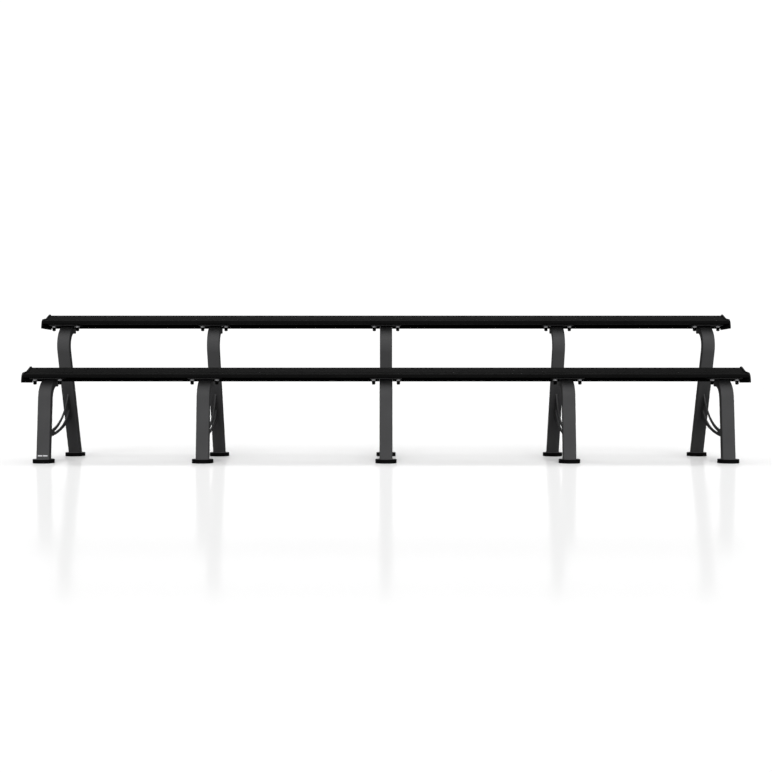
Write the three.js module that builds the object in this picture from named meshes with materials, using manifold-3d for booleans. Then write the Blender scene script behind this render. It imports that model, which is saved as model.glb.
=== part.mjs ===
// Long two-tier dumbbell rack: five frames of bent flat tube carry two full-length trays.
// Each tray is a folded steel box with a rounded front, a flat deck and a ramp behind it,
// closed by an end cap at each end and bolted to a plate on every leg.
//
// Millimetres. +X runs along the trays, +Y from the front to the back, +Z up. The origin is
// on the floor, midway between the two rows of feet. Side-view outlines are written as
// (y, z); those of a tier are counted from the tier's front edge and base height.

import * as THREE from 'three';
import { mergeVertices } from 'three/addons/utils/BufferGeometryUtils.js';
import Module from 'manifold-3d';

const wasm = await Module();
wasm.setup();

// ---- Driving dimensions ----

const GAP = 0.3;                       // clearance kept between touching pieces

const INNER_PITCH = 917;               // middle frame to its neighbours
const OUTER_PITCH = 794;               // those neighbours to the end frames
const HALF_LENGTH = 1817;              // over the end caps

const FOOT_DEPTH = 280;                // foot centres, in front of and behind the origin
const FOOT_RADIUS = 53;
const FOOT_HEIGHT = 20;
const SOCKET_RADIUS = 49;              // recess in the foot's top for the leg's base plate
const SOCKET_FLOOR = 13.7;
const BASE_RADIUS = 48.5;
const BASE_THICKNESS = 5.5;

const TUBE_WIDTH = 65;                 // along X
const TUBE_DEPTH = 38;
const TUBE_CORNER = 5;
const TUBE_WALL = 3;
const BEND_RADIUS = 87;                // of the tube's centre line
const FRONT_LEAN = 5;                  // degrees from the vertical, towards the back
const REAR_LEAN = -20.8;
const LOWER_TOP = 420.2;               // top of the bent tube under each tray
const UPPER_TOP = 706;

const PLATE_HALF_WIDTH = 80;           // mounting plate welded on the leg's top
const PLATE_THICKNESS = 6.5;
const PLATE_RISE = 6;                  // plate's upper face above the top of the tube
const PLATE_FRONT = 96;                // in front of the bend's centre
const PLATE_BACK = 2;                  // behind it
const TAIL_LENGTH = 25;                // level stretch of tube behind the bend's centre

const BRACE_THICKNESS = 8;
const BRACE_INSET = 10;                // how far the uncut plate reaches into each leg

const SHEET = 3;                       // thickness of the trays' steel
const TRAY_SETBACK = 139;              // tray's front edge in front of the bend's centre
const TRAY_DROP = 12.2;                // tier's base below the top of the tube
const TRAY_BOTTOM = 18.5;              // underside of the tray's box
const FLANGE_FRONT = 142.5;            // faces of the rear flange, behind the tier's front edge
const FLANGE_BACK = 146;
const CAP_THICKNESS = 9;
const PLUG_LENGTH = 18;
const NOTCH_CLEARANCE = 0.5;           // round each leg's tail, in the tray's rear flange

const BOLT_OFFSET = 62.5;              // from the frame's centre, along X
const BOLT_SETBACK = 54;               // in front of the bend's centre
const HOLE_RADIUS = 5.6;

const BEND_STEPS = 4;
const EDGE_STEPS = 8;
const FOOT_SIDES = 24;
const BOLT_SIDES = 8;

// ---- Materials ----

const material = (color, roughness, metalness) => (
  new THREE.MeshStandardMaterial({ color, roughness, metalness })
);
const LEG_COAT = material(0x2f2f30, 0.45, 0.3);
const TRAY_COAT = material(0x0e0e0f, 0.4, 0.3);
const CAP_PLASTIC = material(0x080808, 0.5, 0);
const FOOT_RUBBER = material(0x070707, 0.8, 0);
const ZINC = material(0xb4b7ba, 0.35, 1);

// ---- Helpers ----

const radians = THREE.MathUtils.degToRad;

function toSolid(geometry) {
  const bare = geometry.clone();
  bare.deleteAttribute('normal');
  bare.deleteAttribute('uv');
  const merged = mergeVertices(bare, 1e-4);
  return new wasm.Manifold(new wasm.Mesh({
    numProp: 3,
    vertProperties: new Float32Array(merged.attributes.position.array),
    triVerts: new Uint32Array(merged.index.array),
  }));
}

function toGeometry(solid) {
  const mesh = solid.getMesh();
  const geometry = new THREE.BufferGeometry();
  geometry.setAttribute('position', new THREE.BufferAttribute(mesh.vertProperties, 3));
  geometry.setIndex(new THREE.BufferAttribute(mesh.triVerts, 1));
  geometry.computeVertexNormals();
  return geometry;
}

function outline(points) {
  return new THREE.Shape(points.map(([y, z]) => new THREE.Vector2(y, z)));
}

// Extrudes a (y, z) shape along X between two positions. A bevel rounds the long edges
// without making the piece larger.
function extrudeAlongX(shape, from, to, bevel = 0, curveSegments = BEND_STEPS) {
  const geometry = new THREE.ExtrudeGeometry(shape, {
    depth: to - from - 2 * bevel,
    curveSegments,
    bevelEnabled: bevel > 0,
    bevelThickness: bevel,
    bevelSize: bevel,
    bevelOffset: -bevel,
    bevelSegments: 1,
  });
  geometry.translate(0, 0, from + bevel);
  const sideways = new THREE.Matrix4().makeBasis(
    new THREE.Vector3(0, 1, 0),
    new THREE.Vector3(0, 0, 1),
    new THREE.Vector3(1, 0, 0),
  );
  return toSolid(geometry.applyMatrix4(sideways));
}

function boxBetween([x0, y0, z0], [x1, y1, z1]) {
  const box = new THREE.BoxGeometry(x1 - x0, y1 - y0, z1 - z0);
  return toSolid(box.translate((x0 + x1) / 2, (y0 + y1) / 2, (z0 + z1) / 2));
}

function cylinderAlongZ(radius, sides, [x, y], bottom, top) {
  const cylinder = new THREE.CylinderGeometry(radius, radius, top - bottom, sides);
  cylinder.rotateX(Math.PI / 2).translate(x, y, (bottom + top) / 2);
  return toSolid(cylinder);
}

// Turns a (radius, z) profile, listed from the bottom up, about the Z axis.
function turned(profile, sides) {
  const points = profile.map(([radius, z]) => new THREE.Vector2(radius, z));
  return new THREE.LatheGeometry(points, sides).rotateX(Math.PI / 2);
}

// ---- Frames and ends ----

const FRAMES = [
  { name: 'far_left', x: -INNER_PITCH - OUTER_PITCH },
  { name: 'left', x: -INNER_PITCH },
  { name: 'middle', x: 0 },
  { name: 'right', x: INNER_PITCH },
  { name: 'far_right', x: INNER_PITCH + OUTER_PITCH },
];
const SIDES = [{ name: 'left', sign: -1 }, { name: 'right', sign: 1 }];

// ---- Tiers: where each leg bends and where its tray sits ----

function makeTier(footDepth, lean, top) {
  const angle = radians(lean);
  const bendZ = top - BEND_RADIUS - TUBE_DEPTH / 2;
  const rise = bendZ + BEND_RADIUS * Math.sin(angle) - FOOT_HEIGHT;
  const bendY = footDepth + rise * Math.tan(angle) + BEND_RADIUS * Math.cos(angle);
  return { footDepth, angle, top, bendY, bendZ };
}

const LOWER = makeTier(-FOOT_DEPTH, FRONT_LEAN, LOWER_TOP);
const UPPER = makeTier(FOOT_DEPTH, REAR_LEAN, UPPER_TOP);

// ---- Legs ----

// Side view of the bent tube, `half` being half its depth and `tail` the level stretch
// after the bend. It starts below the floor; legForm trims it.
function legOutline({ angle, bendY, bendZ }, half, tail) {
  const below = (bendZ + BEND_RADIUS) / Math.cos(angle);
  const start = Math.PI - angle;
  const end = Math.PI / 2;
  const outer = BEND_RADIUS + half;
  const inner = BEND_RADIUS - half;
  const foot = (radius) => [
    bendY + radius * Math.cos(start) - below * Math.sin(angle),
    bendZ + radius * Math.sin(start) - below * Math.cos(angle),
  ];
  const shape = new THREE.Shape();
  shape.moveTo(...foot(inner));
  shape.lineTo(...foot(outer));
  shape.absarc(bendY, bendZ, outer, start, end, true);
  shape.lineTo(bendY + tail, bendZ + outer);
  shape.lineTo(bendY + tail, bendZ + inner);
  shape.absarc(bendY, bendZ, inner, end, start, false);
  return shape;
}

// The tube's outer form moved inwards by `inset` and cut level at `bottom`. A negative inset
// gives the form that clears the neighbours.
function legForm(tier, inset, bottom) {
  const far = 1000;
  const halfWidth = TUBE_WIDTH / 2 - inset;
  const bevel = Math.max(TUBE_CORNER - inset, 1);
  const shape = legOutline(tier, TUBE_DEPTH / 2 - inset, TAIL_LENGTH - inset);
  return extrudeAlongX(shape, -halfWidth, halfWidth, bevel)
    .subtract(boxBetween([-far, -far, -far], [far, far, bottom]));
}

function mountingPlate({ bendY, top }) {
  const upper = top + PLATE_RISE;
  const corner = [-PLATE_HALF_WIDTH, bendY - PLATE_FRONT, upper - PLATE_THICKNESS];
  const opposite = [PLATE_HALF_WIDTH, bendY + PLATE_BACK, upper];
  return boxBetween(corner, opposite);
}

function leg(tier) {
  const bottom = SOCKET_FLOOR + GAP;
  const base = [0, tier.footDepth];
  const bore = legForm(tier, TUBE_WALL, 0);
  let solid = legForm(tier, 0, bottom)
    .add(mountingPlate(tier))
    .add(cylinderAlongZ(BASE_RADIUS, FOOT_SIDES, base, bottom, bottom + BASE_THICKNESS))
    .subtract(bore);
  for (const x of [-BOLT_OFFSET, BOLT_OFFSET]) {
    const place = [x, tier.bendY - BOLT_SETBACK];
    const above = tier.top + PLATE_RISE + 1;
    solid = solid.subtract(cylinderAlongZ(HOLE_RADIUS, BOLT_SIDES, place, tier.top - 2, above));
  }
  return toGeometry(solid);
}

// ---- Feet: rubber discs with a round recess for the leg's base plate ----

function foot() {
  return turned([
    [0, 0],
    [FOOT_RADIUS - 2, 0],
    [FOOT_RADIUS, 2],
    [FOOT_RADIUS, FOOT_HEIGHT - 2.5],
    [FOOT_RADIUS - 2.5, FOOT_HEIGHT],
    [SOCKET_RADIUS, FOOT_HEIGHT],
    [SOCKET_RADIUS, SOCKET_FLOOR],
    [0, SOCKET_FLOOR],
  ], FOOT_SIDES);
}

// ---- Braces: a curved plate between the legs of a frame, with a crescent slot ----

function brace() {
  const shape = new THREE.Shape();
  shape.moveTo(-252 - BRACE_INSET, 120);
  shape.lineTo(-252, 120);
  shape.quadraticCurveTo(50, 134, 182, 223);
  shape.lineTo(182 + BRACE_INSET, 223);
  shape.lineTo(137 + BRACE_INSET, 342);
  shape.lineTo(137, 342);
  shape.quadraticCurveTo(50, 162, -252, 152);
  shape.lineTo(-252 - BRACE_INSET, 152);

  const slot = new THREE.Path();
  slot.moveTo(-110, 146);
  slot.quadraticCurveTo(70, 162, 156, 254);
  slot.lineTo(133, 299.5);
  slot.quadraticCurveTo(30, 183.5, -112, 152);
  shape.holes.push(slot);

  const half = BRACE_THICKNESS / 2;
  const plate = extrudeAlongX(shape, -half, half, 0, EDGE_STEPS)
    .subtract(legForm(LOWER, -GAP, 0))
    .subtract(legForm(UPPER, -GAP, 0));
  return toGeometry(plate);
}

// ---- Trays ----

// Outside of the tray: a box with a rear flange that reaches down between the legs' tails.
function trayShape() {
  const shape = new THREE.Shape();
  shape.moveTo(4, TRAY_BOTTOM);
  shape.lineTo(8, 27);
  shape.quadraticCurveTo(12, 38, 22, 39);
  shape.lineTo(80, 47);
  shape.lineTo(137, 71);
  shape.quadraticCurveTo(141.5, 72, 142, 68);
  shape.lineTo(FLANGE_BACK, 0);
  shape.lineTo(FLANGE_FRONT + 0.5, 0);
  shape.lineTo(FLANGE_FRONT, TRAY_BOTTOM);
  return shape;
}

// Inside of the tray, moved inwards by a clearance.
function hollowShape(inset) {
  const floor = TRAY_BOTTOM + SHEET + inset;
  return outline([
    [8 + inset, floor],
    [11 + inset, 27],
    [23 + inset, 36 - inset],
    [80, 44 - inset],
    [136 - inset, 67 - 2 * inset],
    [139 - inset, 66 - 2 * inset],
    [139.5 - inset, floor],
  ]);
}

function tray() {
  const half = HALF_LENGTH - CAP_THICKNESS - GAP;
  let body = extrudeAlongX(trayShape(), -half, half, 0, 3)
    .subtract(extrudeAlongX(hollowShape(0), -half - 1, half + 1));
  for (const x of boltPlaces()) {
    const place = [x, TRAY_SETBACK - BOLT_SETBACK];
    const bottom = TRAY_BOTTOM - 1;
    const top = TRAY_BOTTOM + SHEET + 1;
    body = body.subtract(cylinderAlongZ(HOLE_RADIUS, BOLT_SIDES, place, bottom, top));
  }
  const reach = TUBE_WIDTH / 2 + NOTCH_CLEARANCE;
  const notchTop = TRAY_DROP + NOTCH_CLEARANCE;
  for (const { x } of FRAMES) {
    const low = [x - reach, FLANGE_FRONT - 1.5, -1];
    body = body.subtract(boxBetween(low, [x + reach, FLANGE_BACK + 2, notchTop]));
  }
  return toGeometry(body);
}

// ---- End caps: a plate that stands proud of the tray all round, and a plug ----

// side is -1 for the left end and +1 for the right end.
function endCap(side) {
  const inner = HALF_LENGTH - CAP_THICKNESS;
  const join = 1;                      // the plug reaches this far into the plate
  const plate = outline([
    [0, -6],
    [1.4, 9],
    [3.8, 19],
    [7, 29],
    [9.4, 33.5],
    [15, 38.5],
    [21, 44],
    [80, 52],
    [137, 76.5],
    [143, 77],
    [152, 70],
    [157, -6],
  ]);
  const plug = hollowShape(2 * GAP);
  const span = (from, to) => [Math.min(side * from, side * to), Math.max(side * from, side * to)];
  const cap = extrudeAlongX(plate, ...span(inner, HALF_LENGTH), 1)
    .add(extrudeAlongX(plug, ...span(inner - PLUG_LENGTH, inner + join)));
  return toGeometry(cap);
}

// ---- Bolts: head in the tray's hollow, washer and capped nut under the leg's plate ----

// Heights are counted from the plate's underside.
function bolt() {
  const clamped = PLATE_THICKNESS + SHEET + 2 * GAP;
  return turned([
    [0, -28],
    [8, -24],
    [9, -8],
    [11, -8],
    [11, -GAP],
    [5, -GAP],
    [5, clamped],
    [11, clamped],
    [9, clamped + 4],
    [0, clamped + 5.5],
  ], BOLT_SIDES);
}

// ---- Assembly ----

function boltPlaces() {
  return FRAMES.flatMap(({ x }) => [x - BOLT_OFFSET, x + BOLT_OFFSET]);
}

function place(group, name, geometry, coat, x = 0, y = 0, z = 0) {
  const mesh = new THREE.Mesh(geometry, coat);
  mesh.name = name;
  mesh.position.set(x, y, z);
  group.add(mesh);
}

const trayGeometry = tray();
const capGeometries = SIDES.map(({ sign }) => endCap(sign));
const boltGeometry = bolt();
const footGeometry = foot();
const braceGeometry = brace();

// One tier: a tray with its end caps and bolts, in a group placed on the tops of its legs.
function buildTier(name, tier) {
  const group = new THREE.Group();
  group.position.set(0, tier.bendY - TRAY_SETBACK, tier.top - TRAY_DROP);
  place(group, `${name}_tray`, trayGeometry, TRAY_COAT);
  SIDES.forEach((side, i) => {
    place(group, `${name}_end_cap_${side.name}`, capGeometries[i], CAP_PLASTIC);
  });
  for (const frame of FRAMES) {
    for (const side of SIDES) {
      const boltX = frame.x + side.sign * BOLT_OFFSET;
      const boltY = TRAY_SETBACK - BOLT_SETBACK;
      const boltZ = TRAY_DROP + PLATE_RISE - PLATE_THICKNESS;
      const boltName = `${name}_bolt_${frame.name}_${side.name}`;
      place(group, boltName, boltGeometry, ZINC, boltX, boltY, boltZ);
    }
  }
  return group;
}

function buildFrames() {
  const group = new THREE.Group();
  const legs = [['front', LOWER], ['rear', UPPER]].map(([name, tier]) => (
    { name, tier, geometry: leg(tier) }
  ));
  for (const frame of FRAMES) {
    for (const { name, tier, geometry } of legs) {
      place(group, `${name}_leg_${frame.name}`, geometry, LEG_COAT, frame.x);
      place(group, `${name}_foot_${frame.name}`, footGeometry, FOOT_RUBBER, frame.x, tier.footDepth);
    }
    place(group, `brace_${frame.name}`, braceGeometry, LEG_COAT, frame.x);
  }
  return group;
}

const rack = new THREE.Group();
rack.add(buildFrames());
rack.add(buildTier('lower', LOWER));
rack.add(buildTier('upper', UPPER));

export default rack;
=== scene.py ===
"""Looks for the long two-tier dumbbell rack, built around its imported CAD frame.

Metres, in the CAD's own frame: +X along the trays, +Y from the front to the back, +Z up.
Outlines in the side plane are lists of (y, z). Those of a tier are counted in millimetres
from the tier's front edge and base, as in the CAD, and turned into metres by Tier.points.
"""
import math

import bmesh
import bpy
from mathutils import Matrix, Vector, noise


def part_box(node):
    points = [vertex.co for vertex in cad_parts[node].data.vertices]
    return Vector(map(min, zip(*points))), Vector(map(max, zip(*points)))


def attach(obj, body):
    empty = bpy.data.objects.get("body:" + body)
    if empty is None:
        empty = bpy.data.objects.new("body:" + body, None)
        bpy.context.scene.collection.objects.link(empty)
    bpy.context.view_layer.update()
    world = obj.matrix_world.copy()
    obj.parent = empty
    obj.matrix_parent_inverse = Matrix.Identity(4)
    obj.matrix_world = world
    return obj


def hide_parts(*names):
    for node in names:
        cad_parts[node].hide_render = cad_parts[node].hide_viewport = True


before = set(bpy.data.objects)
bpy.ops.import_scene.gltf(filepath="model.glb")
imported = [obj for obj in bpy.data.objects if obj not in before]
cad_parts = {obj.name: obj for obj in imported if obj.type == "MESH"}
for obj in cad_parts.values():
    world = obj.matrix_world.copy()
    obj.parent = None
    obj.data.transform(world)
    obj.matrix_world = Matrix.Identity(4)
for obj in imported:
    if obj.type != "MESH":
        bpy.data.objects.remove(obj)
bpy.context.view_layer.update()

MM = 0.001

# ---- Dimensions shared with the CAD ----

TUBE_WIDTH = 0.065
TUBE_DEPTH = 0.038
TUBE_CORNER = 0.005
BEND_RADIUS = 0.087
FRONT_LEAN = math.radians(5)
REAR_LEAN = math.radians(-20.8)
TAIL_LENGTH = 0.025             # level stretch of tube behind the bend's centre
TUBE_WALL = 0.003
NOTCH_CLEARANCE = 0.0005
TRAY_FRONT = 0.004              # front of the tray's box behind the tier's front edge
TRAY_SETBACK = 0.139            # tier's front edge in front of the bend's centre
TRAY_DROP = 0.0122              # tier's base below the top of the bent tube
PLATE_FRONT = 0.096
PLATE_BACK = 0.002
PLATE_THICKNESS = 0.0065
PLATE_RISE = 0.006
PLATE_HALF_WIDTH = 0.080
PLATE_FRONT_CORNER = 0.009
PLATE_BACK_CORNER = 0.003
BASE_RADIUS = 0.0485
BASE_BOTTOM = 0.014
BASE_THICKNESS = 0.0055
BRACE_THICKNESS = 0.008
BOLT_SETBACK = 0.054
BOLT_OFFSET = 0.0625            # from the frame's centre, along X
BOLT_HOLE_RADIUS = 0.0056

FRAME_NAMES = ("far_left", "left", "middle", "right", "far_right")
END_NAMES = ("left", "right")


# ---- Mesh helpers ----

def finish_mesh(name, mesh, material, crease_degrees=32):
    """Names a mesh, smooths it between creases and gives it its one material."""
    for polygon in mesh.polygons:
        polygon.use_smooth = True
    mesh.set_sharp_from_angle(angle=math.radians(crease_degrees))
    mesh.materials.clear()
    mesh.materials.append(material)
    mesh.name = name
    return mesh


def mesh_from(name, vertices, faces, material, crease_degrees=32):
    mesh = bpy.data.meshes.new(name)
    mesh.from_pydata([tuple(v) for v in vertices], [], faces)
    mesh.validate()
    fix = bmesh.new()
    fix.from_mesh(mesh)
    bmesh.ops.remove_doubles(fix, verts=fix.verts, dist=1e-7)
    bmesh.ops.recalc_face_normals(fix, faces=fix.faces)
    fix.to_mesh(mesh)
    fix.free()
    return finish_mesh(name, mesh, material, crease_degrees)


def loft(rings):
    """Vertices and faces of a skin over rings of equal length, capped at both ends."""
    count = len(rings[0])
    vertices = [point for ring in rings for point in ring]
    faces = []
    for i in range(len(rings) - 1):
        low = i * count
        high = low + count
        for j in range(count):
            k = (j + 1) % count
            faces.append((low + j, low + k, high + k, high + j))
    faces.append(tuple(reversed(range(count))))
    faces.append(tuple(range((len(rings) - 1) * count, len(rings) * count)))
    return vertices, faces


def rounded(points, radii, steps=5):
    """A closed outline with its corners rounded, as far as its sides leave room."""
    result = []
    count = len(points)
    for i, point in enumerate(points):
        corner = Vector(point)
        before = Vector(points[i - 1]) - corner
        after = Vector(points[(i + 1) % count]) - corner
        half_angle = before.angle(after) / 2
        room = 0.48                     # of a side, for the rounding at either end
        reach = min(radii[i] / math.tan(half_angle), before.length * room, after.length * room)
        start = corner + before.normalized() * reach
        end = corner + after.normalized() * reach
        for step in range(steps + 1):
            t = step / steps
            mixed = start * (1 - t) ** 2 + corner * 2 * t * (1 - t) + end * t ** 2
            result.append(tuple(mixed))
    return result


def bezier(start, control, end, steps=28):
    """Points of a quadratic curve, without its last one."""
    a, b, c = Vector(start), Vector(control), Vector(end)
    return [
        tuple(a * (1 - t) ** 2 + b * 2 * t * (1 - t) + c * t ** 2)
        for t in (i / steps for i in range(steps))
    ]


def prism(name, loops, x0, x1, material, bevel=0.0, segments=3):
    """Extrudes a (y, z) outline, with any holes after it, along X and rounds its rims."""
    curve = bpy.data.curves.new(name, "CURVE")
    curve.dimensions = "2D"
    curve.fill_mode = "BOTH"
    for loop in loops:
        spline = curve.splines.new("POLY")
        spline.points.add(len(loop) - 1)
        for target, (y, z) in zip(spline.points, loop):
            target.co = (y, z, 0, 1)
        spline.use_cyclic_u = True
    curve.extrude = (x1 - x0) / 2 - bevel
    curve.bevel_depth = bevel
    curve.bevel_resolution = segments
    curve.offset = -bevel
    holder = bpy.data.objects.new(name, curve)
    bpy.context.scene.collection.objects.link(holder)
    bpy.context.view_layer.update()
    evaluated = holder.evaluated_get(bpy.context.evaluated_depsgraph_get())
    mesh = bpy.data.meshes.new_from_object(evaluated)
    bpy.data.objects.remove(holder)
    middle = (x0 + x1) / 2
    for vertex in mesh.vertices:
        y, z, x = vertex.co
        vertex.co = (x + middle, y, z)
    work = bmesh.new()
    work.from_mesh(mesh)
    bmesh.ops.remove_doubles(work, verts=work.verts, dist=1e-6)
    bmesh.ops.recalc_face_normals(work, faces=work.faces)
    work.to_mesh(mesh)
    work.free()
    return finish_mesh(name, mesh, material)


def carve(name, mesh, cutters, material):
    """Cuts each (mesh, place) out of a mesh."""
    body = bpy.data.objects.new("carved_body", mesh)
    bpy.context.scene.collection.objects.link(body)
    tools = []
    for cutter, place in cutters:
        tool = bpy.data.objects.new("cutter", cutter)
        tool.location = place
        bpy.context.scene.collection.objects.link(tool)
        cut = body.modifiers.new("cut", "BOOLEAN")
        cut.operation = "DIFFERENCE"
        cut.solver = "EXACT"
        cut.object = tool
        tools.append(tool)
    bpy.context.view_layer.update()
    evaluated = body.evaluated_get(bpy.context.evaluated_depsgraph_get())
    carved = bpy.data.meshes.new_from_object(evaluated)
    for thing in [body, *tools]:
        bpy.data.objects.remove(thing)
    return finish_mesh(name, carved, material)


def turned(name, profile, material, sides=64):
    """A solid of revolution about Z from a (radius, z) profile that starts and ends at 0."""
    vertices = [(0, 0, profile[0][1])]
    for radius, z in profile[1:-1]:
        for i in range(sides):
            angle = 2 * math.pi * i / sides
            vertices.append((radius * math.cos(angle), radius * math.sin(angle), z))
    vertices.append((0, 0, profile[-1][1]))
    rings = len(profile) - 2
    last = len(vertices) - 1
    faces = []
    for i in range(sides):
        k = (i + 1) % sides
        faces.append((0, 1 + k, 1 + i))
        for ring in range(rings - 1):
            low = 1 + ring * sides
            high = low + sides
            faces.append((low + i, low + k, high + k, high + i))
        top = 1 + (rings - 1) * sides
        faces.append((top + i, top + k, last))
    return mesh_from(name, vertices, faces, material)


def join(name, *meshes):
    """One mesh from several, keeping each part's material."""
    joined = bmesh.new()
    materials = []
    for mesh in meshes:
        start = len(joined.faces)
        joined.from_mesh(mesh)
        joined.faces.ensure_lookup_table()
        material = mesh.materials[0]
        if material not in materials:
            materials.append(material)
        for face in joined.faces[start:]:
            face.material_index = materials.index(material)
    result = bpy.data.meshes.new(name)
    joined.to_mesh(result)
    joined.free()
    for material in materials:
        result.materials.append(material)
    return result


def moved(mesh, offset):
    """A copy of a mesh, shifted."""
    copy = mesh.copy()
    for vertex in copy.vertices:
        vertex.co += Vector(offset)
    return copy


def piece(name, mesh, place=(0, 0, 0), stands_for=()):
    """Places a visible piece and the CAD nodes it replaces."""
    thing = bpy.data.objects.new(name, mesh)
    thing.location = place
    bpy.context.scene.collection.objects.link(thing)
    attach(thing, "root")
    if stands_for:
        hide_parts(*stands_for)
    return thing


# ---- Materials ----

def new_material(name, roughness, metallic=0.0, specular=0.5):
    material = bpy.data.materials.new(name)
    material.use_nodes = True
    shader = material.node_tree.nodes["Principled BSDF"]
    shader.inputs["Roughness"].default_value = roughness
    shader.inputs["Metallic"].default_value = metallic
    shader.inputs["Specular IOR Level"].default_value = specular
    return material, material.node_tree.nodes, material.node_tree.links, shader


def noise_field(nodes, links, scale, detail=3.0):
    """A noise texture over the object's own coordinates."""
    coordinates = nodes.new("ShaderNodeTexCoord")
    field = nodes.new("ShaderNodeTexNoise")
    field.inputs["Scale"].default_value = scale
    field.inputs["Detail"].default_value = detail
    links.new(coordinates.outputs["Object"], field.inputs["Vector"])
    return field.outputs["Fac"]


def spread(nodes, links, value, low, high):
    """Maps the middle of a 0..1 field to low..high."""
    mapped = nodes.new("ShaderNodeMapRange")
    mapped.inputs["From Min"].default_value = 0.3
    mapped.inputs["From Max"].default_value = 0.7
    mapped.inputs["To Min"].default_value = low
    mapped.inputs["To Max"].default_value = high
    links.new(value, mapped.inputs["Value"])
    return mapped.outputs["Result"]


def mottle(nodes, links, shader, value, dark, light):
    """Colours the surface between two greys by a field."""
    ramp = nodes.new("ShaderNodeValToRGB")
    ramp.color_ramp.elements[0].position = 0.3
    ramp.color_ramp.elements[1].position = 0.7
    ramp.color_ramp.elements[0].color = (dark, dark, dark * 1.02, 1)
    ramp.color_ramp.elements[1].color = (light, light, light * 1.02, 1)
    links.new(value, ramp.inputs["Fac"])
    links.new(ramp.outputs["Color"], shader.inputs["Base Color"])


def bump(nodes, links, shader, value, distance, strength):
    node = nodes.new("ShaderNodeBump")
    node.inputs["Distance"].default_value = distance
    node.inputs["Strength"].default_value = strength
    links.new(value, node.inputs["Height"])
    links.new(node.outputs["Normal"], shader.inputs["Normal"])


def powder_coat(name, dark, light, roughness, specular):
    """Satin powder coat: orange peel, a slow drift in tone and uneven gloss."""
    material, nodes, links, shader = new_material(name, roughness, specular=specular)
    mottle(nodes, links, shader, noise_field(nodes, links, 6), dark, light)
    gloss = spread(nodes, links, noise_field(nodes, links, 40), roughness - 0.05, roughness + 0.07)
    links.new(gloss, shader.inputs["Roughness"])
    bump(nodes, links, shader, noise_field(nodes, links, 900, 2), 0.0002, 0.25)
    return material


def moulded(name, dark, light, roughness, specular, grain):
    """Moulded rubber or plastic with a fine spark-eroded grain."""
    material, nodes, links, shader = new_material(name, roughness, specular=specular)
    mottle(nodes, links, shader, noise_field(nodes, links, 25), dark, light)
    bump(nodes, links, shader, noise_field(nodes, links, grain, 4), 0.0003, 0.35)
    return material


def zinc_plate(name):
    """Pale zinc plating under a cloudy, half-matt passivation."""
    material, nodes, links, shader = new_material(name, 0.36, metallic=0.2)
    mottle(nodes, links, shader, noise_field(nodes, links, 120), 0.80, 0.95)
    gloss = spread(nodes, links, noise_field(nodes, links, 260), 0.28, 0.46)
    links.new(gloss, shader.inputs["Roughness"])
    return material


LEG_COAT = powder_coat("leg_coat", 0.050, 0.058, 0.42, 0.15)
TRAY_COAT = powder_coat("tray_coat", 0.0015, 0.0023, 0.40, 0.04)
CAP_PLASTIC = moulded("cap_plastic", 0.0010, 0.0018, 0.45, 0.15, 700)
FOOT_RUBBER = moulded("foot_rubber", 0.0022, 0.0034, 0.70, 0.12, 500)
ZINC = zinc_plate("zinc")
LABEL = moulded("label_print", 0.55, 0.65, 0.5, 0.3, 900)


# ---- Tiers, read from the frame ----

class Tier:
    """Where one row of legs stands and bends, and where its tray sits."""

    def __init__(self, name, side, lean):
        self.name = name
        self.side = side
        self.lean = lean
        tray_low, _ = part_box(f"{name}_tray")
        foot_low, foot_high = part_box(f"{side}_foot_middle")
        self.front = tray_low.y - TRAY_FRONT
        self.base = tray_low.z
        self.top = self.base + TRAY_DROP
        self.foot_y = (foot_low.y + foot_high.y) / 2
        self.bend_y = self.front + TRAY_SETBACK
        self.bend_z = self.top - BEND_RADIUS - TUBE_DEPTH / 2

    def points(self, millimetres):
        """Side-plane points of the tier, from millimetres to metres in the frame."""
        return [(self.front + y * MM, self.base + z * MM) for y, z in millimetres]


LOWER = Tier("lower", "front", FRONT_LEAN)
UPPER = Tier("upper", "rear", REAR_LEAN)
FRAME_X = [sum(c.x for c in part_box(f"front_foot_{name}")) / 2 for name in FRAME_NAMES]


# ---- Weld beads ----

def weld_bead(name, path, radius=0.0022, ripple=0.0005, pitch=0.0035):
    """A rippled bead along a path of 3-D points."""
    steps = []
    for start, end in zip(path, path[1:]):
        count = max(1, round((Vector(end) - Vector(start)).length / (pitch / 2)))
        steps += [Vector(start).lerp(Vector(end), i / count) for i in range(count)]
    steps.append(Vector(path[-1]))
    rings = []
    for i, point in enumerate(steps):
        along = (steps[min(i + 1, len(steps) - 1)] - steps[max(i - 1, 0)]).normalized()
        across = along.orthogonal().normalized()
        other = along.cross(across)
        wander = noise.noise(point * 300) * ripple
        size = radius + (ripple if i % 2 else 0) + wander
        if i in (0, len(steps) - 1):
            size *= 0.5
        rings.append([
            point + (across * math.cos(a) + other * math.sin(a)) * size
            for a in (2 * math.pi * k / 8 for k in range(8))
        ])
    vertices, faces = loft(rings)
    return mesh_from(name, vertices, faces, LEG_COAT, 60)


# ---- Legs ----

def leg_path(tier):
    """Centre line as (y, z, angle), the angle being that of travel from the vertical."""
    rise = tier.bend_z + BEND_RADIUS * math.sin(tier.lean) - BASE_BOTTOM
    start_y = tier.bend_y - BEND_RADIUS * math.cos(tier.lean) - rise * math.tan(tier.lean)
    path = [(start_y, BASE_BOTTOM, tier.lean)]
    last = math.pi / 2
    steps = 36
    for i in range(steps + 1):
        turn = tier.lean + (last - tier.lean) * i / steps
        y = tier.bend_y - BEND_RADIUS * math.cos(turn)
        z = tier.bend_z + BEND_RADIUS * math.sin(turn)
        path.append((y, z, turn))
    path.append((tier.bend_y + TAIL_LENGTH, path[-1][1], last))
    return path


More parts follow.
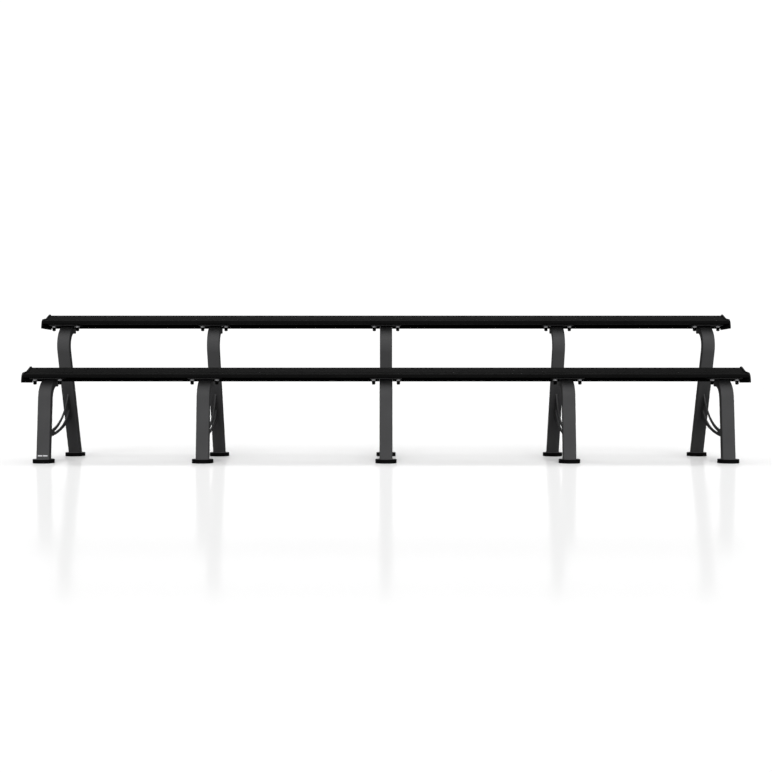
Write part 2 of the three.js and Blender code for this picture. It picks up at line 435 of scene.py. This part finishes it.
def tube_section(steps=5):
    """Rounded rectangle as (x, depth), depth growing towards the outside of the bend."""
    half_x, half_d = TUBE_WIDTH / 2, TUBE_DEPTH / 2
    corners = [(-half_x, -half_d), (half_x, -half_d), (half_x, half_d), (-half_x, half_d)]
    return rounded(corners, [TUBE_CORNER] * 4, steps)


def end_plug_rings(rim):
    """The rim of the tube's wall at its tail, and the face of a plug set a little inside it."""
    centre = sum(rim, Vector()) / len(rim)
    half_x, half_z = TUBE_WIDTH / 2, TUBE_DEPTH / 2
    scale = Vector((1 - TUBE_WALL / half_x, 1, 1 - TUBE_WALL / half_z))
    mouth = [centre + (point - centre) * scale for point in rim]
    recess = 0.0015
    return [mouth, [point - Vector((0, recess, 0)) for point in mouth]]


def tube(tier):
    """Closed skin of the bent tube. Its bore is hidden by the plug and isn't modelled."""
    section = tube_section()
    path = leg_path(tier)
    rings = []
    for i, (y, z, turn) in enumerate(path):
        out_y, out_z = -math.cos(turn), math.sin(turn)
        ring = [Vector((x, y + out_y * d, z + out_z * d)) for x, d in section]
        if i == 0:
            for point in ring:            # the foot end is cut level
                shift = BASE_BOTTOM - point.z
                point.y += shift * math.tan(turn)
                point.z = BASE_BOTTOM
        rings.append(ring)
    rings += end_plug_rings(rings[-1])
    vertices, faces = loft(rings)
    return mesh_from("tube", vertices, faces, LEG_COAT)


def mounting_plate(tier):
    y0, y1 = tier.bend_y - PLATE_FRONT, tier.bend_y + PLATE_BACK
    top = tier.top + PLATE_RISE
    bottom = top - PLATE_THICKNESS
    corners = [(-PLATE_HALF_WIDTH, y0), (PLATE_HALF_WIDTH, y0),
               (PLATE_HALF_WIDTH, y1), (-PLATE_HALF_WIDTH, y1)]
    radii = [PLATE_FRONT_CORNER, PLATE_FRONT_CORNER, PLATE_BACK_CORNER, PLATE_BACK_CORNER]
    outline = rounded(corners, radii)
    chamfer = 0.0007
    middle_y = (y0 + y1) / 2
    rings = []
    for z, inset in ((bottom, chamfer), (bottom + chamfer, 0), (top - chamfer, 0), (top, chamfer)):
        shrink_x = 1 - inset / PLATE_HALF_WIDTH
        shrink_y = 1 - 2 * inset / (y1 - y0)
        rings.append([(x * shrink_x, middle_y + (y - middle_y) * shrink_y, z) for x, y in outline])
    vertices, faces = loft(rings)
    return mesh_from("plate", vertices, faces, LEG_COAT)


def base_plate(tier):
    top = BASE_BOTTOM + BASE_THICKNESS
    edge = 0.0008
    profile = [(0, BASE_BOTTOM), (BASE_RADIUS, BASE_BOTTOM), (BASE_RADIUS, top - edge),
               (BASE_RADIUS - edge, top), (0, top)]
    return moved(turned("base", profile, LEG_COAT), (0, tier.foot_y, 0))


def leg_welds(tier):
    """Beads round the leg's foot and along both sides of the tube under the plate."""
    top = BASE_BOTTOM + BASE_THICKNESS
    stretch = 1 / math.cos(tier.lean)
    section = tube_section(3)
    foot_loop = [(x, tier.foot_y - d * stretch, top) for x, d in section]
    foot_loop.append(foot_loop[0])
    beads = [weld_bead("foot_weld", foot_loop)]
    inset = 0.002                       # from the tube's side
    sink = 0.0012                       # below the tube's top
    length = 0.020
    fall = 0.0019                       # of the bend over the bead's length
    for side in (-1, 1):
        x = side * (TUBE_WIDTH / 2 - inset)
        under = tier.top - sink
        start = (x, tier.bend_y - length, under - fall)
        beads.append(weld_bead("plate_weld", [start, (x, tier.bend_y, under)]))
    return beads


def leg(tier):
    parts = [tube(tier), mounting_plate(tier), base_plate(tier)]
    return join(f"{tier.side}_leg", *parts, *leg_welds(tier))


# ---- Feet ----

RECESS_RADIUS = 0.0490
RECESS_MOUTH = 0.0492           # its radius at the top, where the edge is broken
RECESS_FLOOR = 0.0137


def foot():
    """Rubber disc with a soft rim, a shallow groove round its side and a recess on top."""
    low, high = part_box("front_foot_middle")
    radius = (high.x - low.x) / 2
    height = high.z
    groove = 0.0008
    profile = [(0, 0), (radius - 0.002, 0), (radius - 0.0006, 0.0006), (radius, 0.002),
               (radius, height * 0.42), (radius - groove, height * 0.45),
               (radius - groove, height * 0.50), (radius, height * 0.53)]
    rim = 0.0025
    for i in range(7):
        angle = math.pi / 2 * i / 6
        profile.append((radius - rim + rim * math.cos(angle), height - rim + rim * math.sin(angle)))
    profile += [(RECESS_MOUTH, height), (RECESS_RADIUS, height - 0.0003),
                (RECESS_RADIUS, RECESS_FLOOR), (0, RECESS_FLOOR)]
    return turned("foot", profile, FOOT_RUBBER, 96)


# ---- Braces ----

# (y, z) of each bead's ends, close to the corners of the plate's ends
BRACE_FRONT_WELD = ((-0.2515, 0.122), (-0.2490, 0.151))
BRACE_REAR_WELD = ((0.1822, 0.225), (0.1372, 0.340))


def brace():
    """Curved plate between the legs, in the frame's side plane, with a crescent slot."""
    def metres(loop):
        return [(y * MM, z * MM) for y, z in loop]

    bottom = bezier((-252, 120), (50, 134), (182, 223)) + [(182, 223)]
    top = bezier((137, 342), (50, 162), (-252, 152)) + [(-252, 152)]
    slot = bezier((-110, 146), (70, 162), (156, 254)) + [(156, 254)]
    slot += bezier((133, 299.5), (30, 183.5), (-112, 152)) + [(-112, 152)]
    half = BRACE_THICKNESS / 2
    plate = prism("brace", [metres(bottom + top), metres(slot)], -half, half, LEG_COAT, 0.0010)
    beads = []
    for side in (-1, 1):
        x = side * (half + 0.0005)
        for name, ends in (("front_weld", BRACE_FRONT_WELD), ("rear_weld", BRACE_REAR_WELD)):
            beads.append(weld_bead(name, [(x, y, z) for y, z in ends]))
    return join("brace", plate, *beads)


# ---- Trays ----

TRAY_OUTLINE = [
    # (y, z), corner radius; millimetres from the tier's front edge and base
    ((4, 18.5), 1.5),
    ((8, 27), 4),
    ((12.5, 37.5), 9),
    ((24, 39.2), 6),
    ((80, 47), 7),
    ((137, 71), 4),
    ((142, 71), 3),
    ((146, 0), 0.8),
    ((143, 0), 0.8),
    ((142.5, 18.5), 1.5),
]
TRAY_HOLLOW = [(8.3, 21.5), (11.4, 27.4), (23.7, 35.7), (80, 43.8), (135.4, 66.3), (139.2, 21.5)]
SHEET_MIDDLE = 0.020            # of the bottom sheet, above the tier's base
OVERRUN = 0.01                  # of the hollow's cutter past each end of the tray
HOLE_REACH = 0.004              # of a hole's cutter above and below the sheet's middle


def tray(tier):
    """The hollow tray, drilled for its bolts, its rear flange notched round each leg's tail."""
    low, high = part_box(f"{tier.name}_tray")
    corners = tier.points([point for point, _ in TRAY_OUTLINE])
    outline = rounded(corners, [radius * MM for _, radius in TRAY_OUTLINE])
    notch_top = tier.top + NOTCH_CLEARANCE
    notched = [(y, max(z, notch_top)) for y, z in outline]
    reach = TUBE_WIDTH / 2 + NOTCH_CLEARANCE
    stations = [(low.x, outline)]
    for x in FRAME_X:
        stations += [(x - reach, outline), (x - reach, notched)]
        stations += [(x + reach, notched), (x + reach, outline)]
    stations.append((high.x, outline))
    vertices, faces = loft([[(x, y, z) for y, z in ring] for x, ring in stations])
    block = mesh_from(f"{tier.name}_block", vertices, faces, TRAY_COAT)
    ends = (low.x - OVERRUN, high.x + OVERRUN)
    hollow = prism("tray_hollow", [tier.points(TRAY_HOLLOW)], *ends, TRAY_COAT)
    hole = turned("bolt_hole", [(0, -HOLE_REACH), (BOLT_HOLE_RADIUS, -HOLE_REACH),
                                (BOLT_HOLE_RADIUS, HOLE_REACH), (0, HOLE_REACH)], TRAY_COAT, 24)
    bolt_y = tier.bend_y - BOLT_SETBACK
    cutters = [(hollow, (0, 0, 0))]
    for x in FRAME_X:
        for side in (-1, 1):
            place = (x + side * BOLT_OFFSET, bolt_y, tier.base + SHEET_MIDDLE)
            cutters.append((hole, place))
    return carve(f"{tier.name}_tray", block, cutters, TRAY_COAT)


# ---- End caps ----

CAP_OUTLINE = [
    ((0, -6), 2),
    ((1.4, 9), 4),
    ((3.8, 19), 6),
    ((8.2, 31.5), 8),
    ((15, 38.5), 8),
    ((21, 44), 6),
    ((80, 52), 8),
    ((137, 76.5), 5),
    ((143, 77), 3),
    ((152, 70), 7),
    ((157, -6), 2),
]
PLUG_OUTLINE = [(9, 22.2), (12, 27), (24, 35), (80, 43), (135, 65.5), (138.5, 22.2)]
CAP_THICKNESS = 0.009
PLUG_LENGTH = 0.018
PLUG_JOIN = 0.002               # how far the plug reaches into the plate


def end_cap(tier, side):
    """A plate proud of the tray all round, and a plug in the tray's hollow."""
    name = f"{tier.name}_end_cap_{END_NAMES[side > 0]}"
    low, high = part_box(name)
    outer = high.x if side > 0 else low.x
    inner = outer - side * CAP_THICKNESS
    corners = tier.points([point for point, _ in CAP_OUTLINE])
    outline = rounded(corners, [radius * MM for _, radius in CAP_OUTLINE], 6)
    plate = prism("cap_plate", [outline], min(inner, outer), max(inner, outer), CAP_PLASTIC, 0.0015, 4)
    ends = sorted((inner + side * PLUG_JOIN, inner - side * PLUG_LENGTH))
    plug = prism("cap_plug", [tier.points(PLUG_OUTLINE)], *ends, CAP_PLASTIC, 0.0006)
    return join(name, plate, plug)


# ---- Bolts: zinc washer and nut with a dark cap, head in the tray's hollow ----

# Heights are counted from the underside of the leg's plate.
NUT_RADIUS = 0.0106             # to its corners
NUT_TOP = -0.0024
NUT_BOTTOM = -0.0084
SHANK_RADIUS = 0.0050
HEAD_SEAT = 0.0101


def hexagon(name, radius, bottom, top, material):
    """A six-sided nut with rounded corners and chamfered faces."""
    corners = [(radius * math.cos(math.pi / 3 * i), radius * math.sin(math.pi / 3 * i))
               for i in range(6)]
    chamfer = 0.0008
    outline = rounded(corners, [chamfer] * 6, 3)
    narrow = 0.93                       # size of the faces against the middle
    levels = ((bottom, narrow), (bottom + chamfer, 1), (top - chamfer, 1), (top, narrow))
    rings = [[(x * k, y * k, z) for x, y in outline] for z, k in levels]
    vertices, faces = loft(rings)
    return mesh_from(name, vertices, faces, material)


def bolt():
    washer = turned("washer", [(0, NUT_TOP), (0.0102, NUT_TOP), (0.0108, -0.0018),
                               (0.0108, -0.0006), (0.0104, -0.0003), (0, -0.0003)], ZINC, 40)
    nut = hexagon("nut", NUT_RADIUS, NUT_BOTTOM, NUT_TOP, ZINC)
    cap_profile = [(0, -0.0280), (0.0040, -0.0275)]
    for i in range(1, 8):
        angle = math.pi / 2 * i / 8
        cap_profile.append((0.0040 + 0.0048 * math.sin(angle), -0.0225 - 0.0050 * math.cos(angle)))
    cap_profile += [(0.0089, -0.0220), (0.0090, -0.0088), (0.0086, NUT_BOTTOM), (0, NUT_BOTTOM)]
    cap = turned("bolt_cap", cap_profile, CAP_PLASTIC, 32)
    shank = turned("shank", [(0, -0.0010), (SHANK_RADIUS, -0.0010),
                             (SHANK_RADIUS, HEAD_SEAT), (0, HEAD_SEAT)], ZINC, 24)
    head = turned("head", [(0, HEAD_SEAT), (0.0105, HEAD_SEAT), (0.0109, 0.0106), (0.0098, 0.0132),
                           (0.0060, 0.0150), (0, 0.0156)], ZINC, 32)
    return join("bolt", washer, nut, cap, shank, head)


# ---- Label: two plain bars low on the first front leg, where a name would be ----

BAR_SPANS = ((-0.024, -0.002), (0.002, 0.024))
BAR_HALF_HEIGHT = 0.0028
BAR_RELIEF = 0.0002             # in front of the leg's face, and the same behind it
LABEL_HEIGHT = 0.037            # of the bars' middle, above the ground
LEAN_START = 0.020              # height at which the leg's centre line is over the foot's centre


def label_bars():
    """The bars, bent to the lean of the leg's front face."""
    relief, half = BAR_RELIEF, BAR_HALF_HEIGHT
    outline = [(-relief, -half), (relief, -half), (relief, half), (-relief, half)]
    mesh = join("label_bars", *[prism("bar", [outline], x0, x1, LABEL) for x0, x1 in BAR_SPANS])
    for vertex in mesh.vertices:
        z = vertex.co.z + LABEL_HEIGHT
        face_y = LOWER.foot_y + (z - LEAN_START) * math.tan(LOWER.lean)
        face_y -= TUBE_DEPTH / 2 / math.cos(LOWER.lean)
        vertex.co.y += face_y
        vertex.co.z = z
    return mesh


# ---- Object ----

def build_object():
    foot_mesh = foot()
    brace_mesh = brace()
    bolt_mesh = bolt()
    legs = {tier: leg(tier) for tier in (LOWER, UPPER)}
    for name, x in zip(FRAME_NAMES, FRAME_X):
        for tier in (LOWER, UPPER):
            leg_node = f"{tier.side}_leg_{name}"
            piece(f"{leg_node}_shell", legs[tier], (x, 0, 0), [leg_node])
            foot_node = f"{tier.side}_foot_{name}"
            piece(f"{foot_node}_shell", foot_mesh, (x, tier.foot_y, 0), [foot_node])
            for end in END_NAMES:
                node = f"{tier.name}_bolt_{name}_{end}"
                low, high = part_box(node)
                place = ((low.x + high.x) / 2, tier.bend_y - BOLT_SETBACK,
                         tier.top + PLATE_RISE - PLATE_THICKNESS)
                piece(f"{node}_detail", bolt_mesh, place, [node])
        piece(f"brace_{name}_plate", brace_mesh, (x, 0, 0), [f"brace_{name}"])
    for tier in (LOWER, UPPER):
        node = f"{tier.name}_tray"
        piece(f"{node}_folded", tray(tier), stands_for=[node])
        for side in (-1, 1):
            node = f"{tier.name}_end_cap_{END_NAMES[side > 0]}"
            piece(f"{node}_moulded", end_cap(tier, side), stands_for=[node])
    piece("label_bars", label_bars(), (FRAME_X[0], 0, 0))


# ---- Stage, light and camera ----

BACKDROP = 1.05                 # brightness behind the rack, as the camera sees it
SURROUND = 0.11                 # brightness of the unseen studio round the rack
FLOOR_GREY = 0.88
FLOOR_ROUGHNESS = 0.12
FLOOR_REFLECTION = 0.15
FLOOR_REACH = 150               # half the floor's side
CARD_HEIGHT = 300               # tall enough to fill the floor's reflection from above
CARD_STRENGTH = 4               # watts per square metre
CARD_INSET = 1                  # from the floor's rim


def light_only(light, things):
    """Keeps a light's effect to the given objects."""
    receivers = bpy.data.collections.new(f"{light.name}_receivers")
    for thing in things:
        receivers.objects.link(thing)
    light.light_linking.receiver_collection = receivers


def add_floor_cards(floor):
    """White cards round the floor's rim that only the floor mirrors.

    The floor reflects them all round the rack, so the legs' own reflections show as grey.
    """
    for quarter in range(4):
        angle = quarter * math.pi / 2
        inwards = Vector((-math.sin(angle), -math.cos(angle), 0))
        data = bpy.data.lights.new(f"floor_card_{quarter}", "AREA")
        data.shape = "RECTANGLE"
        data.size, data.size_y = 2 * FLOOR_REACH, CARD_HEIGHT
        data.energy = CARD_STRENGTH * data.size * data.size_y
        card = bpy.data.objects.new(data.name, data)
        card.location = inwards * (CARD_INSET - FLOOR_REACH)
        card.location.z = CARD_HEIGHT / 2
        card.rotation_euler = inwards.to_track_quat("-Z", "Y").to_euler()
        card.visible_camera = False
        card.visible_diffuse = False
        light_only(card, [floor])
        bpy.context.scene.collection.objects.link(card)


def build_stage():
    floor_mesh = bpy.data.meshes.new("floor")
    corners = [(x * FLOOR_REACH, y * FLOOR_REACH, 0) for x, y in ((-1, -1), (1, -1), (1, 1), (-1, 1))]
    floor_mesh.from_pydata(corners, [], [(0, 1, 2, 3)])
    floor_mesh.materials.append(floor_material())
    floor = bpy.data.objects.new("floor", floor_mesh)
    floor.visible_diffuse = False       # no light comes back up from the floor
    floor.visible_glossy = False
    bpy.context.scene.collection.objects.link(floor)

    build_world()
    bpy.context.scene.view_settings.view_transform = "Standard"
    add_sun("overhead", elevation=84, strength=1.75, spread_degrees=90)
    add_sun("front", elevation=32, strength=2.3, spread_degrees=36, in_gloss=False)
    add_sun("low", elevation=5, strength=0.95, spread_degrees=10, in_gloss=False)
    add_sun("behind", elevation=112, strength=0.33, spread_degrees=25)
    rear = add_sun("rear", elevation=150, strength=2.4, spread_degrees=30, in_gloss=False)
    meshes = [thing for thing in bpy.data.objects if thing.type == "MESH"]
    light_only(rear, [thing for thing in meshes if thing != floor])
    add_floor_cards(floor)


def floor_material():
    """Matt white with a weak, even reflection."""
    material = bpy.data.materials.new("floor")
    material.use_nodes = True
    nodes, links = material.node_tree.nodes, material.node_tree.links
    nodes.clear()
    matt = nodes.new("ShaderNodeBsdfDiffuse")
    matt.inputs["Color"].default_value = (FLOOR_GREY, FLOOR_GREY, FLOOR_GREY, 1)
    gloss = nodes.new("ShaderNodeBsdfGlossy")
    gloss.inputs["Roughness"].default_value = FLOOR_ROUGHNESS
    blend = nodes.new("ShaderNodeMixShader")
    blend.inputs["Fac"].default_value = FLOOR_REFLECTION
    output = nodes.new("ShaderNodeOutputMaterial")
    links.new(matt.outputs["BSDF"], blend.inputs[1])
    links.new(gloss.outputs["BSDF"], blend.inputs[2])
    links.new(blend.outputs["Shader"], output.inputs["Surface"])
    return material


def build_world():
    """White behind the object, and a dimmer surround for light and reflections."""
    world = bpy.data.worlds.new("studio")
    world.use_nodes = True
    nodes, links = world.node_tree.nodes, world.node_tree.links
    path = nodes.new("ShaderNodeLightPath")
    level = nodes.new("ShaderNodeMapRange")
    level.inputs["To Min"].default_value = SURROUND
    level.inputs["To Max"].default_value = BACKDROP
    links.new(path.outputs["Is Camera Ray"], level.inputs["Value"])
    links.new(level.outputs["Result"], nodes["Background"].inputs["Strength"])
    nodes["Background"].inputs["Color"].default_value = (1, 1, 1, 1)
    bpy.context.scene.world = world


def add_sun(name, elevation, strength, spread_degrees, in_gloss=True):
    """A soft sun; above 90 degrees it comes from behind. Without in_gloss nothing mirrors it."""
    data = bpy.data.lights.new(name, "SUN")
    data.energy = strength
    data.angle = math.radians(spread_degrees)
    light = bpy.data.objects.new(name, data)
    light.rotation_euler = (math.radians(90 - elevation), 0, 0)
    light.visible_glossy = in_gloss
    bpy.context.scene.collection.objects.link(light)
    return light


def build_camera():
    data = bpy.data.cameras.new("camera")
    data.lens = 51.3
    data.sensor_width = 36
    camera = bpy.data.objects.new("camera", data)
    camera.location = (0, -5.78, 0.385)
    camera.rotation_euler = (math.radians(90), 0, 0)
    bpy.context.scene.collection.objects.link(camera)
    bpy.context.scene.camera = camera


build_object()
build_stage()
build_camera()
